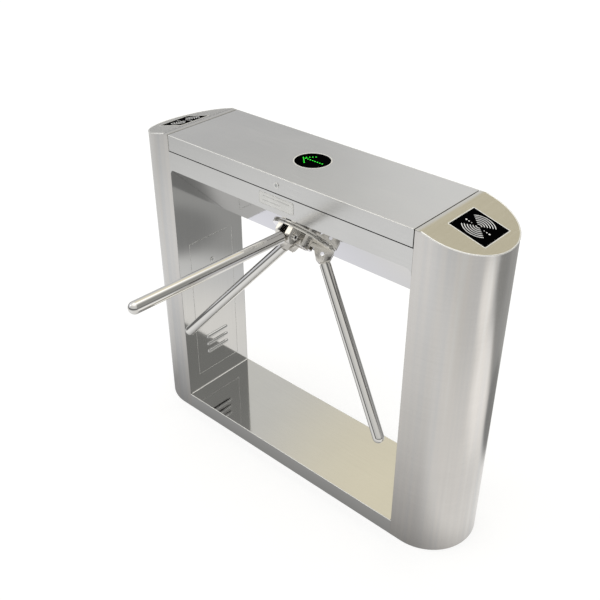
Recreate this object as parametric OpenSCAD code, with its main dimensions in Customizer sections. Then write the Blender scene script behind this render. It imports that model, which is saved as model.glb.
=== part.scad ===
// Tripod turnstile for counting visitors: one long bridge cabinet on two
// round-ended columns, a sloping underside that carries a three-arm hub,
// a hinged top cover with a direction light, and two sloping reader caps.
// Frame: +X along the cabinet, -Y is the visitor side that the arms reach
// over, +Z up, origin on the floor at the centre of the cabinet footprint.

/* [Cabinet] */
// Overall length of the cabinet
cab_l = 1200; // [1160:10:1260]
// Width of the cabinet over its front and back sheets
cab_w = 275; // [265:5:290]
// Height of the top cover above the floor
cab_h = 990; // [980:5:1010]
// Length of each column, from its end to the passage
column_l = 175; // [170:1:185]
// Thickness of the sheet steel
sheet = 1.5; // [1.2:0.1:2]
// Height of the low sill between the columns
sill_h = 53; // [45:1:60]
// Thickness of the base plate
base_t = 3; // [2.5:0.5:4]

/* [Beam and sloping underside] */
// Height of the front sheet's lower edge
beam_front_z = 883.5; // [875:0.5:890]
// Height of the flat soffit at the back of the beam
soffit_z = 686; // [680:1:695]
// Shadow gap between the underside and the columns
panel_gap = 1.6; // [0.8:0.2:2]
// Radius of the passage's upper front corners
corner_r = 15; // [10:1:20]

/* [Top cover] */
// Height of the cover's skirt
skirt_h = 47.6; // [45:0.2:52]
// Gap between the cover and its neighbours
cover_gap = 2.4; // [1.5:0.1:2.6]
// Radius of the direction light's window
led_r = 49; // [45:1:52]
// Pitch of the lamps in the arrow
led_pitch = 8.2; // [7.5:0.1:8.6]

/* [Reader caps] */
// Length of the flat strip beside the cover
cap_flat = 17.5; // [14:0.5:20]
// Slope of the reader caps in degrees
cap_slope = 15; // [12:0.5:15]
// Distance of the reader window's near edge from the passage
reader_near = 35; // [32:1:38]
// Length of the reader window, measured level
reader_l = 100; // [95:1:104]
// Width of the reader window
reader_w = 108; // [100:1:112]

/* [Service doors] */
// Width of the door opening in the column
door_w = 180; // [170:1:190]
// Height of the door opening's lower edge
door_z0 = 111; // [105:1:118]
// Height of the door opening's upper edge
door_z1 = 616; // [605:1:625]
// Gap round each door
door_gap = 1.5; // [1.2:0.1:2]
// Height of each door's lock
door_lock_z = 527; // [515:1:540]

/* [Hub and arms] */
// Distance of the hub's axis in front of the cabinet's centre line, on the slope
hub_y = 33; // [30:1:36]
// Radius of the rotor disc
disc_r = 95; // [92:1:96]
// Radius of the hub's drum
drum_r = 38; // [34:1:38]
// Outer diameter of the arm tubes
arm_d = 32; // [31:1:32]
// Length of an arm from its pivot to the centre of its round end
arm_len = 515; // [470:5:530]
// Extra lift of the barrier arm in its seat, in degrees
barrier_lift = 1.8; // [0:0.1:2]
// Distance of each arm's pivot from the hub's axis
pivot_rho = 69.5; // [69:0.5:70]
// Height of each arm's pivot above the slope
pivot_h = 24.5; // [24:0.5:25]

/* [Floor fixing] */
// Distance of each anchor pattern's centre from the middle
anchor_x = 505; // [500:1:510]
// Spacing of the anchors along the cabinet
anchor_sx = 100; // [90:5:100]
// Spacing of the anchors across the cabinet
anchor_sy = 170; // [160:5:170]
// Radius of each anchor hole
anchor_r = 7; // [6:0.5:8]
// Inner radius of the cable grommet
cable_r = 15; // [12:1:16]

/* [Hidden] */
$fn = 72;

R = cab_w/2;                    // radius of the round ends
hl = cab_l/2;                   // half length
xs = hl - R;                    // where the round ends begin
xo = hl - column_l;             // half width of the passage
xc = xo - cover_gap;            // half length of the cover
yi = R - sheet;                 // inner face of the front and back sheets
slope_k = beam_front_z - R;     // the slope is the plane y + z = slope_k
soffit_y = slope_k - soffit_z;  // where the slope meets the soffit
cover_z = cab_h - skirt_h;      // lower edge of the cover
beam_top = cover_z - cover_gap; // top edge of the beam's sheets
tc = tan(cap_slope);
xr = xo + cap_flat;             // where the caps begin to slope
function cap_z(x) = cab_h - max(0, x - xr)*tc;
hub_z = slope_k + hub_y;        // hub foot on the slope, at y = -hub_y
hy = R + 3.7;                   // cover hinge axis
hz = beam_top + 0.5;
arm_r = arm_d/2;
disc_h0 = 1.5;                  // rotor disc above the slope
disc_h1 = 6.5;
drum_h1 = 30;
tube_t0 = 26;                   // tube start from the pivot
lug_hw = 25;                    // half width of an arm lug
slot_hw = 9.8;                  // half width of the slot between its cheeks
pin_r = 6.2;
lid_lock_x = -3;
lid_lock_z = cab_h - 25;
pk_h0 = -72;                    // locking plane behind the slope
door_roll = 0.7;                // radius of the doors' rolled lower edge
pk_h1 = -66;

// sheet colours
c_sheet = [0.74, 0.74, 0.72];
c_top = [0.68, 0.68, 0.67];
c_cast = [0.72, 0.69, 0.64];
c_chrome = [0.85, 0.85, 0.84];
c_zinc = [0.62, 0.63, 0.66];
c_dark = [0.08, 0.08, 0.09];

// places a child drawn with X along the cabinet, Y up the slope and Z
// straight out of the slope, with its zero at the hub's foot
module on_slope() translate([0, -hub_y, hub_z]) rotate([135, 0, 0]) children();

// extrudes a profile drawn in (y, z) along X, centred
module along_x(len) rotate([90, 0, 90]) linear_extrude(len, center = true) children();

// mirrors the left or right version of a piece drawn at +X
module side(left) mirror([left ? 1 : 0, 0, 0]) children();

module box(x, y, z) translate([x[0], y[0], z[0]]) cube([x[1]-x[0], y[1]-y[0], z[1]-z[0]]);

// outline of one column, from the passage to its round end
module column_2d(off) {
  translate([xo, -(R - off)]) square([xs - xo, 2*(R - off)]);
  intersection() {
    translate([xs, 0]) circle(r = R - off, $fn = 144);
    translate([xs, -R]) square([R + 1, 2*R]);
  }
}

// outline of the whole footprint, inset by off
module footprint_2d(off) {
  square([2*xs, 2*(R - off)], center = true);
  for (s = [-1, 1]) translate([s*xs, 0]) circle(r = R - off, $fn = 144);
}

// ---------------------------------------------------------------- cabinet
module base_plate() color(c_zinc) difference() {
  linear_extrude(base_t) footprint_2d(sheet);
  for (s = [-1, 1], i = [-1, 1], j = [-1, 1])
    translate([s*anchor_x + i*anchor_sx/2, j*anchor_sy/2, -1]) cylinder(r = anchor_r, h = base_t + 2);
  translate([-anchor_x, 0, -1]) cylinder(r = cable_r + 5, h = base_t + 2);
}

module cable_grommet() color(c_dark) translate([-anchor_x, 0, 0]) difference() {
  union() {
    cylinder(r = cable_r + 5, h = base_t);
    translate([0, 0, base_t]) cylinder(r = cable_r + 9, h = 3);
  }
  translate([0, 0, -1]) cylinder(r = cable_r, h = base_t + 6);
}

// wrapped sheet of one column: front, round end and back in one piece
module end_wrap(left) side(left) difference() {
  linear_extrude(cab_h) difference() { column_2d(0); column_2d(sheet); }
  rotate([90, 0, 0]) linear_extrude(2*R + 4, center = true)
    polygon([[xo - 1, cab_h - 2], [xr, cab_h - 2], [hl + 1, cap_z(hl + 1) - 2], [hl + 1, cab_h + 5], [xo - 1, cab_h + 5]]);
}
module left_end_wrap() color(c_sheet) end_wrap(true);
module right_end_wrap() color(c_sheet) end_wrap(false);

module front_beam_panel() color(c_sheet) difference() {
  union() {
    along_x(2*xo) polygon([[-R, beam_front_z], [-yi, beam_front_z - sheet], [-yi, beam_top], [-R, beam_top]]);
    for (s = [-1, 1]) mirror([s < 0 ? 1 : 0, 0, 0]) difference() {
      translate([xo - corner_r, -R, beam_front_z - corner_r]) cube([corner_r, sheet, corner_r]);
      translate([xo - corner_r, -R - 1, beam_front_z - corner_r]) rotate([-90, 0, 0]) cylinder(r = corner_r, h = sheet + 2);
    }
  }
  // back edge of the corner fillets follows the slope
  along_x(2*xo + 2) polygon([[-yi, beam_front_z - sheet - 0.001], [-yi + 5, beam_front_z], [-yi + 5, 0], [-yi, 0]]);
}

module back_beam_panel() color(c_sheet) box([-xo, xo], [yi, R], [soffit_z, beam_top]);

// folded channel between the columns: front, top and back of the sill
module sill_channel() color(c_sheet) difference() {
  box([-xo, xo], [-R, R], [0, sill_h]);
  box([-xo - 1, xo + 1], [-yi, yi], [-1, sill_h - sheet]);
}

// one folded sheet: the slope that carries the hub, and the flat soffit behind it
module underside_panel() color(c_sheet) difference() {
  along_x(2*(xo - panel_gap)) polygon([[-yi, slope_k + yi], [soffit_y, soffit_z], [yi, soffit_z], [yi, soffit_z + sheet],
    [soffit_y + sheet*0.4142, soffit_z + sheet], [-yi, slope_k + yi + sheet*1.41421]]);
  on_slope() translate([0, 0, -10]) cylinder(r = 30, h = 20);
}

// inner side of a column, with the opening for its service door
module jamb_panel(left) side(left) difference() {
  translate([xo + sheet/2, 0, 0]) along_x(sheet)
    polygon([[-yi, base_t], [yi, base_t], [yi, soffit_z], [soffit_y, soffit_z], [-yi, slope_k + yi]]);
  box([xo - 1, xo + sheet + 1], [-door_w/2, door_w/2], [door_z0, door_z1]);
}
module left_jamb_panel() color(c_sheet) jamb_panel(true);
module right_jamb_panel() color(c_sheet) jamb_panel(false);

// sloping cap with its flat strip and an inner flange beside the cover
module cap_slab(x0, x1, d0, d1) rotate([90, 0, 0]) linear_extrude(2*R + 4, center = true)
  polygon([[x0, cap_z(x0) - d1], [x0, cap_z(x0) - d0], if (x0 < xr) [xr, cab_h - d0],
    [x1, cap_z(x1) - d0], [x1, cap_z(x1) - d1], if (x0 < xr) [xr, cab_h - d1]]);
module reader_cap(left) side(left) {
  difference() {
    intersection() {
      cap_slab(xo, hl + 1, 0, 2);
      translate([0, 0, 900]) linear_extrude(100) column_2d(0);
    }
    box([xo + reader_near, xo + reader_near + reader_l], [-reader_w/2, reader_w/2], [900, 1000]);
  }
  box([xo, xo + sheet], [-yi, yi], [cover_z - 8, cab_h - 2]);
}
module left_reader_cap() color(c_sheet) reader_cap(true);
module right_reader_cap() color([0.66, 0.63, 0.55]) reader_cap(false);

module reader_windows() color(c_dark) for (l = [true, false]) side(l) intersection() {
  cap_slab(xo + reader_near + 0.3, xo + reader_near + reader_l - 0.3, 0.3, 2);
  box([xo, hl], [-reader_w/2 + 0.3, reader_w/2 - 0.3], [900, 1000]);
}

module reader_modules() color([0.12, 0.3, 0.2]) for (l = [true, false]) side(l) intersection() {
  cap_slab(xo + reader_near + 6, xo + reader_near + reader_l - 6, 2, 15);
  box([xo, hl], [-reader_w/2 + 6, reader_w/2 - 6], [900, 1000]);
}

module name_plate() color([0.8, 0.8, 0.78]) rotate([90, 0, 0]) translate([-5, 915, R]) linear_extrude(0.8) {
  square([122, 26], center = true);
  square([114, 34], center = true);
  for (i = [-1, 1], j = [-1, 1]) translate([i*57, j*13]) circle(r = 4, $fn = 32);
}

module cover_seal() color(c_dark) for (s = [0, 1]) mirror([0, s, 0]) {
  box([-xo + 7, xo - 7], [-yi, -yi + 5], [beam_top - 15, beam_top - 2]);
  box([-xo + 7, xo - 7], [-yi + 1.5, -yi + 5], [beam_top - 2, beam_top + 7]);
}

// ------------------------------------------------------- top cover hinges
hinge_xs = [-300, 0, 300];
knuckle = 16;
module cabinet_hinge_leaves() color(c_zinc) for (x = hinge_xs) {
  box([x - 40, x + 40], [R, R + 1.2], [hz - 20, hz - 2.5]);
  difference() {
    union() {
      for (k = [0, 2, 4]) translate([x + (k - 2)*knuckle, 0, 0]) box([-knuckle/2 + 0.2, knuckle/2 - 0.2], [R, R + 1.2], [hz - 3, hz]);
      for (k = [0, 2, 4]) translate([x + (k - 2)*knuckle, hy, hz]) rotate([0, 90, 0]) cylinder(r = 3, h = knuckle - 0.4, center = true);
    }
    translate([x, hy, hz]) rotate([0, 90, 0]) cylinder(r = 1.2, h = 90, center = true);
  }
}
module cover_hinge_leaves() color(c_zinc) for (x = hinge_xs) {
  box([x - 40, x + 40], [R, R + 1.2], [hz + 2.5, hz + 20]);
  difference() {
    union() {
      for (k = [1, 3]) translate([x + (k - 2)*knuckle, 0, 0]) box([-knuckle/2 + 0.2, knuckle/2 - 0.2], [R, R + 1.2], [hz, hz + 3]);
      for (k = [1, 3]) translate([x + (k - 2)*knuckle, hy, hz]) rotate([0, 90, 0]) cylinder(r = 3, h = knuckle - 0.4, center = true);
    }
    translate([x, hy, hz]) rotate([0, 90, 0]) cylinder(r = 1.25, h = 90, center = true);
  }
}
module cover_hinge_pins() color(c_zinc) for (x = hinge_xs)
  translate([x, hy, hz]) rotate([0, 90, 0]) cylinder(r = 1.2, h = 80, center = true);

// -------------------------------------------------------------- top cover
module top_cover() color(c_top) difference() {
  box([-xc, xc], [-R, R], [cover_z, cab_h]);
  box([-xc + sheet, xc - sheet], [-yi, yi], [cover_z - 1, cab_h - sheet]);
  translate([0, 0, cab_h - 5]) cylinder(r = led_r + 3, h = 10, $fn = 120);
  translate([lid_lock_x, -R - 1, lid_lock_z]) rotate([-90, 0, 0]) cylinder(r = 7.2, h = 5);
}
module led_housing() color(c_dark) translate([0, 0, cab_h - 22]) difference() {
  cylinder(r = led_r + 7, h = 22 - sheet, $fn = 120);
  translate([0, 0, 2]) cylinder(r = led_r + 3, h = 22, $fn = 120);
}
module led_board() color([0.1, 0.35, 0.2]) translate([0, 0, cab_h - 20]) cylinder(r = led_r + 1, h = 1.6);
module led_bezel() color([0.83, 0.82, 0.76]) translate([0, 0, cab_h - 6]) difference() {
  cylinder(r = led_r + 3, h = 6, $fn = 120);
  translate([0, 0, -1]) cylinder(r = led_r, h = 8, $fn = 120);
}
module led_window() color([0.03, 0.03, 0.04]) translate([0, 0, cab_h - 4]) cylinder(r = led_r, h = 3.3, $fn = 120);

// arrow of lamps: a shaft along X with two slanting barbs at its tip
arrow = concat([for (i = [-4:4]) [i*led_pitch, 0]],
  [for (i = [1:4], s = [-1, 1]) [-4*led_pitch + i*led_pitch*0.72, s*i*led_pitch*0.72]]);
module led_lamps() color([0.05, 0.9, 0.15]) for (p = arrow)
  translate([p[0], p[1], cab_h - 0.7]) cylinder(r = 1.9, h = 0.4, $fn = 24);

// ------------------------------------------------------------------ locks
// cylinder lock drawn along +Z: the flange's outer face is at z = 1.5 and the sheet's at 0
module lock_body() difference() {
  union() {
    cylinder(r = 8.6, h = 1.5, $fn = 48);
    translate([0, 0, -22]) cylinder(r = 7.2, h = 22, $fn = 48);
  }
  translate([0, 0, -30]) cylinder(r = 5.05, h = 40, $fn = 48);
}
module lock_cam(len) {
  difference() {
    translate([0, 0, -25]) cylinder(r = 5, h = 26.9, $fn = 48);
    translate([-0.6, -2.8, 0.4]) cube([1.2, 5.6, 3]);
  }
  translate([-5.5, -len, -25]) cube([11, len + 5, 2]);
}
module cover_lock_at() translate([lid_lock_x, -R, lid_lock_z]) rotate([90, 0, 0]) children();
module cover_lock_body() color(c_chrome) cover_lock_at() lock_body();
module cover_lock_cam() color(c_zinc) cover_lock_at() lock_cam(32);
module door_lock_at(left) side(left) translate([xo, 0, door_lock_z]) rotate([0, -90, 0]) rotate([0, 0, 90]) children();

// ---------------------------------------------------------- service doors
// raised louvre along Y, pressed out of the door and open along its lower edge
module louvre_solid(r) rotate([90, 0, 0]) rotate_extrude($fn = 48) intersection() {
  union() {
    translate([-r, -41]) square([2*r, 82]);
    for (s = [-1, 1]) translate([0, s*41]) circle(r = r, $fn = 48);
  }
  translate([0, -60]) square([20, 120]);
}
louvre_zs = [184, 214, 243.5];
module service_door(left) color(c_sheet) side(left) {
  dy = door_w/2 - door_gap;
  difference() {
    union() {
      box([xo, xo + sheet], [-dy, dy], [door_z0 + door_gap + door_roll, door_z1 - door_gap]);
      // rolled lower edge that the door tilts on
      translate([xo + sheet/2, dy, door_z0 + door_gap + door_roll]) rotate([90, 0, 0]) cylinder(r = door_roll, h = 2*dy, $fn = 32);
      for (z = louvre_zs) intersection() {
        translate([xo + 1, 0, z]) louvre_solid(7);
        box([xo - 10, xo + sheet], [-60, 60], [z - 8, z + 8]);
      }
    }
    for (z = louvre_zs) intersection() {
      translate([xo + 1, 0, z]) louvre_solid(5.8);
      box([xo - 10, xo + 10], [-60, 60], [z - 8, z + 8]);
    }
    for (z = louvre_zs) box([xo - 10, xo - 0.01], [-60, 60], [z - 8, z - 4.2]);
    translate([xo - 1, 0, door_lock_z]) rotate([0, 90, 0]) cylinder(r = 7.2, h = 5, $fn = 48);
  }
  // hooks that hold the door's lower edge behind the column's sheet
  for (s = [-1, 1]) {
    box([xo + sheet, xo + sheet + 0.4], [s*60 - 12, s*60 + 12], [door_z0 + 4, door_z0 + 17]);
    box([xo + sheet + 0.4, xo + 2*sheet + 0.4], [s*60 - 12, s*60 + 12], [door_z0 - 11, door_z0 + 17]);
  }
}
module left_service_door() service_door(true);
module right_service_door() service_door(false);
module left_door_lock() color(c_chrome) door_lock_at(true) { lock_body(); }
module right_door_lock() color(c_chrome) door_lock_at(false) { lock_body(); }
module left_door_cam() color(c_zinc) door_lock_at(true) lock_cam(40);
module right_door_cam() color(c_zinc) door_lock_at(false) lock_cam(40);

// -------------------------------------------------------------- hub, arms
// places a child at one arm's station: X outwards from the hub's axis,
// Y along the tangent, Z out of the slope
module arm_station(k) on_slope() rotate([0, 0, 90 + 120*k]) children();

module rotor_disc() color(c_cast) on_slope() translate([0, 0, disc_h0]) difference() {
  cylinder(r = disc_r, h = disc_h1 - disc_h0, $fn = 144);
  translate([0, 0, -1]) cylinder(r = 12.5, h = 10);
}

// cheek outline in (distance from the axis, height above the slope)
lug = [[30, disc_h1], [96, disc_h1], [96, 28], [86, 38.5], [79, 45], [71, 48.2], [58, 42], [42, 21], [30, 21]];
module tripod_hub() color(c_cast) difference() {
  union() {
    on_slope() translate([0, 0, disc_h1]) cylinder(r = drum_r, h = drum_h1 - disc_h1, $fn = 96);
    on_slope() translate([0, 0, drum_h1 - 1]) cylinder(r = 28, h = 4);
    for (k = [0:2]) arm_station(k) rotate([90, 0, 0]) linear_extrude(2*lug_hw, center = true) polygon(lug);
  }
  on_slope() translate([0, 0, drum_h1 + 1]) cylinder(r = 22, h = 5);
  for (k = [0:2]) arm_station(k) {
    box([drum_r + 1, 120], [-slot_hw, slot_hw], [disc_h1 - 1, 60]);
    translate([pivot_rho, 0, pivot_h]) rotate([90, 0, 0]) cylinder(r = pin_r, h = 80, center = true, $fn = 48);
  }
}

module main_shaft() color(c_zinc) on_slope() translate([0, 0, -100]) cylinder(r = 12.5, h = 100 + disc_h1);

// an arm's frame: Z along the arm from its pivot, Y along the pivot
module arm_frame(k, lift) arm_station(k) translate([pivot_rho, 0, pivot_h]) rotate([0, 45 + lift, 0]) children();

module arm_tube(k, lift) color(c_chrome) arm_frame(k, lift) difference() {
  union() {
    translate([0, 0, tube_t0]) cylinder(r = arm_r, h = arm_len - tube_t0, $fn = 64);
    translate([0, 0, arm_len]) sphere(r = arm_r, $fn = 64);
  }
  translate([0, 0, tube_t0 - 1]) cylinder(r = arm_r - 1.5, h = arm_len - tube_t0 + 1, $fn = 64);
  translate([0, 0, arm_len]) sphere(r = arm_r - 1.5, $fn = 64);
}

module arm_tongue(k, lift, bore) color(c_cast) arm_frame(k, lift) difference() {
  union() {
    rotate([90, 0, 0]) cylinder(r = 13, h = 2*slot_hw - 0.6, center = true, $fn = 64);
    translate([-13, -slot_hw + 0.3, 0]) cube([26, 2*slot_hw - 0.6, tube_t0 - 2]);
    translate([0, 0, tube_t0 - 2]) cylinder(r = arm_r - 2, h = 2, $fn = 64);
    translate([0, 0, tube_t0]) cylinder(r = arm_r - 1.5, h = 36, $fn = 64);
  }
  rotate([90, 0, 0]) cylinder(r = bore, h = 60, center = true, $fn = 48);
}

module barrier_arm_tube() arm_tube(0, barrier_lift);
module barrier_arm_tongue() arm_tongue(0, barrier_lift, pin_r + 0.05);
module swing_arm_tubes() { arm_tube(1, 0); arm_tube(2, 0); }
module swing_arm_tongues() { arm_tongue(1, 0, pin_r); arm_tongue(2, 0, pin_r); }

module arm_pivot_bushes() color(c_cast) for (k = [1, 2]) arm_station(k)
  translate([pivot_rho, 0, pivot_h]) rotate([90, 0, 0]) difference() {
    cylinder(r = pin_r, h = 2*lug_hw, center = true, $fn = 48);
    cylinder(r = pin_r - 0.9, h = 60, center = true, $fn = 48);
  }

module barrier_pivot_bolt() color(c_chrome) arm_station(0) translate([pivot_rho, 0, pivot_h]) rotate([90, 0, 0]) difference() {
  union() {
    cylinder(r = pin_r, h = 2*lug_hw, center = true, $fn = 48);
    for (s = [-1, 1]) translate([0, 0, s*(lug_hw + 2)]) cylinder(r = 9, h = 4, center = true, $fn = 48);
  }
  for (s = [-1, 1]) translate([0, 0, s*(lug_hw + 4)]) cylinder(r = 4.6, h = 6, center = true, $fn = 6);
}

// -------------------------------------------------- mechanism in the beam
module chassis_plate() color(c_zinc) on_slope() translate([0, 0, -sheet - 8]) difference() {
  translate([-132, -85, 0]) cube([264, 170, 8]);
  translate([0, 0, -1]) cylinder(r = 16, h = 10);
  for (i = [-1, 1], j = [-1, 1]) translate([i*118, j*72, -1]) cylinder(r = 4.4, h = 10, $fn = 32);
}
module mechanism_studs() color(c_zinc) on_slope() for (i = [-1, 1], j = [-1, 1]) translate([i*118, j*72, 0]) {
  translate([0, 0, -24]) cylinder(r = 4, h = 24 - sheet, $fn = 32);
  translate([0, 0, -sheet - 8 - 6.5]) cylinder(r = 7.5, h = 6.5, $fn = 6);
}
module bearing_housing() color(c_cast) on_slope() translate([0, 0, -45]) difference() {
  union() {
    cylinder(r = 32, h = 45 - sheet - 8);
    translate([0, 0, 45 - sheet - 8 - 6]) cylinder(r = 44, h = 6);
  }
  translate([0, 0, -1]) cylinder(r = 26, h = 16);
  translate([0, 0, 0]) cylinder(r = 22, h = 40);
  translate([0, 0, 20.5]) cylinder(r = 26, h = 30);
}
module main_bearings() color([0.8, 0.8, 0.82]) on_slope() for (h = [-45, -24.5]) translate([0, 0, h]) difference() {
  cylinder(r = 26, h = 15);
  translate([0, 0, -1]) cylinder(r = 12.55, h = 17);
}
module rear_plate() color(c_zinc) on_slope() {
  translate([0, 0, -86]) difference() {
    translate([-84, -80, 0]) cube([168, 160, 4]);
    translate([0, 0, -1]) cylinder(r = 14, h = 6);
  }
  // collared pins that the two pawls turn on
  for (s = [-1, 1]) translate([s*70, -40, 0]) {
    translate([0, 0, -83]) cylinder(r = 4, h = 21, $fn = 48);
    translate([0, 0, -83]) cylinder(r = 7, h = 10.6, $fn = 48);
  }
}
module plate_standoffs() color(c_zinc) on_slope() for (i = [-1, 1], j = [-1, 1])
  translate([i*48, j*70, -82]) cylinder(r = 6, h = 82 - sheet - 8, $fn = 32);
module lock_disc() color(c_zinc) on_slope() translate([0, 0, pk_h0]) difference() {
  cylinder(r = 60, h = 6, $fn = 96);
  translate([0, 0, -1]) cylinder(r = 12.5, h = 10);
  for (k = [0:11]) rotate([0, 0, 30*k]) translate([53, -6, -1]) cube([12, 12, 8]);
}
module sensor_disc() color(c_dark) on_slope() translate([0, 0, -55]) difference() {
  cylinder(r = 40, h = 1.5, $fn = 72);
  translate([0, 0, -1]) cylinder(r = 12.5, h = 4);
  for (k = [0:5]) rotate([0, 0, 60*k + 15]) translate([30, -4, -1]) cube([12, 8, 4]);
}
module position_sensor() color(c_dark) on_slope() difference() {
  union() {
    box([-8, 8], [33, 56], [-62, -47]);
    box([-8, 8], [48, 56], [-47.5, -sheet - 8]);
  }
  box([-9, 9], [32, 43], [-57.5, -51]);
}

// one locking pawl drawn on the right, turning about its pin at (70, -40)
module pawl(left) color([0.75, 0.6, 0.3]) on_slope() side(left) difference() {
  union() {
    translate([70, -40, pk_h0]) cylinder(r = 8.5, h = 6, $fn = 48);
    box([66, 76], [-40, 26], [pk_h0, pk_h1]);
    box([61.2, 70], [-3.5, 3.5], [pk_h0, pk_h1]);
  }
  translate([70, -40, pk_h0 - 1]) cylinder(r = 4.05, h = 8, $fn = 48);
}
module solenoid_bodies() color([0.15, 0.15, 0.17]) on_slope() for (l = [true, false]) side(l) {
  difference() {
    box([88, 128], [0, 30], [-84, -54]);
    translate([80, 15, -69]) rotate([0, 90, 0]) cylinder(r = 5.05, h = 44, $fn = 48);
  }
  box([95, 121], [5, 25], [-54, -sheet - 8]);
}
module plunger(left) color(c_chrome) on_slope() side(left)
  translate([76.4, 15, -69]) rotate([0, 90, 0]) cylinder(r = 5, h = 36, $fn = 48);
module left_pawl() pawl(true);
module right_pawl() pawl(false);
module left_plunger() plunger(true);
module right_plunger() plunger(false);

// ------------------------------------------------------------ electronics
module control_board() {
  color([0.1, 0.4, 0.2]) box([-380, -220], [yi - 11.6, yi - 10], [760, 880]);
  color(c_zinc) for (x = [-374, -226], z = [766, 874]) translate([x, yi - 10, z]) rotate([-90, 0, 0]) cylinder(r = 3, h = 10, $fn = 24);
  color(c_dark) {
    box([-365, -320], [yi - 24, yi - 11.6], [775, 790]);
    box([-300, -260], [yi - 15, yi - 11.6], [800, 840]);
    for (i = [0:3]) box([-365 + 22*i, -349 + 22*i], [yi - 28, yi - 11.6], [850, 870]);
  }
  color([0.2, 0.25, 0.5]) for (i = [0:1]) translate([-350 + 24*i, yi - 11.6, 820]) rotate([90, 0, 0]) cylinder(r = 8, h = 20, $fn = 32);
}
module power_supply() {
  color(c_zinc) box([220, 380], [yi - 42, yi], [760, 860]);
  color([0.1, 0.4, 0.2]) box([380, 396], [yi - 30, yi], [770, 850]);
}
module pass_counter() {
  color(c_dark) box([-200, -150], [yi - 34, yi], [790, 820]);
  color([0.8, 0.8, 0.8]) box([-195, -155], [yi - 35, yi - 34], [795, 815]);
}

base_plate();
cable_grommet();
left_end_wrap();
right_end_wrap();
front_beam_panel();
back_beam_panel();
sill_channel();
underside_panel();
left_jamb_panel();
right_jamb_panel();
left_reader_cap();
right_reader_cap();
reader_windows();
reader_modules();
name_plate();
cover_seal();
cabinet_hinge_leaves();
cover_hinge_pins();
chassis_plate();
mechanism_studs();
bearing_housing();
main_bearings();
rear_plate();
plate_standoffs();
solenoid_bodies();
position_sensor();
control_board();
power_supply();
pass_counter();
main_shaft();
rotor_disc();
tripod_hub();
lock_disc();
sensor_disc();
swing_arm_tubes();
swing_arm_tongues();
arm_pivot_bushes();
barrier_pivot_bolt();
barrier_arm_tube();
barrier_arm_tongue();
top_cover();
cover_hinge_leaves();
led_housing();
led_board();
led_bezel();
led_window();
led_lamps();
cover_lock_body();
cover_lock_cam();
left_service_door();
left_door_lock();
left_door_cam();
right_service_door();
right_door_lock();
right_door_cam();
left_pawl();
right_pawl();
left_plunger();
right_plunger();
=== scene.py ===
import math

import bmesh
import bpy
from mathutils import Matrix, Vector


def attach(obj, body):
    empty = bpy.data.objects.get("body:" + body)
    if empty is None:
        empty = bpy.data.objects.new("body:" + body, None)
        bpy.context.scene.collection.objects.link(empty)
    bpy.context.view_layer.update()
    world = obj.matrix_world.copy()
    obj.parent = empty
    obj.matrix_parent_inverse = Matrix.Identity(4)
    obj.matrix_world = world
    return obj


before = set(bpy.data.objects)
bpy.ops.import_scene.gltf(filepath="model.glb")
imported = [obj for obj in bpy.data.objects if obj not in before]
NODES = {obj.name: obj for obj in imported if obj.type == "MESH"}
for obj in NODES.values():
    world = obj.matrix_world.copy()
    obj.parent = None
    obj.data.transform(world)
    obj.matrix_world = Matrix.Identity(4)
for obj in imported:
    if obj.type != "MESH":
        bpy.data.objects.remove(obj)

scene = bpy.context.scene
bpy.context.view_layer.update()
scene.view_settings.view_transform = "Standard"
scene.view_settings.look = "None"


# ---------------------------------------------------------------- node helpers
class Tree:
    """A short way to write a node tree: every call adds one node and links what it is given."""

    def __init__(self, tree):
        self.t = tree

    def add(self, kind, **props):
        n = self.t.nodes.new(kind)
        for k, v in props.items():
            setattr(n, k, v)
        return n

    def put(self, node, key, value):
        socket = node.inputs[key]
        if isinstance(value, bpy.types.NodeSocket):
            self.t.links.new(value, socket)
        else:
            socket.default_value = value

    def math(self, op, a, b=None, c=None, clamp=False):
        n = self.add("ShaderNodeMath", operation=op, use_clamp=clamp)
        self.put(n, 0, a)
        if b is not None:
            self.put(n, 1, b)
        if c is not None:
            self.put(n, 2, c)
        return n.outputs[0]

    def vmath(self, op, a, b=None):
        n = self.add("ShaderNodeVectorMath", operation=op)
        self.put(n, 0, a)
        if b is not None:
            self.put(n, 1, b)
        return n.outputs["Value"] if op in ("DOT_PRODUCT", "LENGTH") else n.outputs["Vector"]

    def mix(self, fac, a, b, mode="MIX"):
        n = self.add("ShaderNodeMix", data_type="RGBA", blend_type=mode)
        self.put(n, 0, fac)
        self.put(n, 6, a)
        self.put(n, 7, b)
        return n.outputs[2]

    def span(self, value, lo, hi, out_lo=0.0, out_hi=1.0, smooth=False):
        n = self.add("ShaderNodeMapRange", interpolation_type="SMOOTHSTEP" if smooth else "LINEAR")
        for key, v in (("Value", value), ("From Min", lo), ("From Max", hi), ("To Min", out_lo), ("To Max", out_hi)):
            self.put(n, key, v)
        return n.outputs["Result"]

    def noise(self, vector, scale=1.0, detail=2.0, rough=0.5, warp=0.0):
        n = self.add("ShaderNodeTexNoise")
        self.put(n, "Vector", vector)
        self.put(n, "Scale", scale)
        self.put(n, "Detail", detail)
        self.put(n, "Roughness", rough)
        self.put(n, "Distortion", warp)
        return n.outputs["Fac"]

    def ramp(self, value, stops, interpolation="LINEAR"):
        n = self.add("ShaderNodeValToRGB")
        n.color_ramp.interpolation = interpolation
        while len(n.color_ramp.elements) < len(stops):
            n.color_ramp.elements.new(0.5)
        for e, (at, col) in zip(n.color_ramp.elements, stops):
            e.position = at
            e.color = (*col, 1)
        self.put(n, "Fac", value)
        return n.outputs["Color"]


def rgb(r, g, b):
    """0-255 display values as linear ones."""
    return tuple((v / 255 / 12.92) if v / 255 <= 0.04045 else ((v / 255 + 0.055) / 1.055) ** 2.4 for v in (r, g, b))


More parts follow.
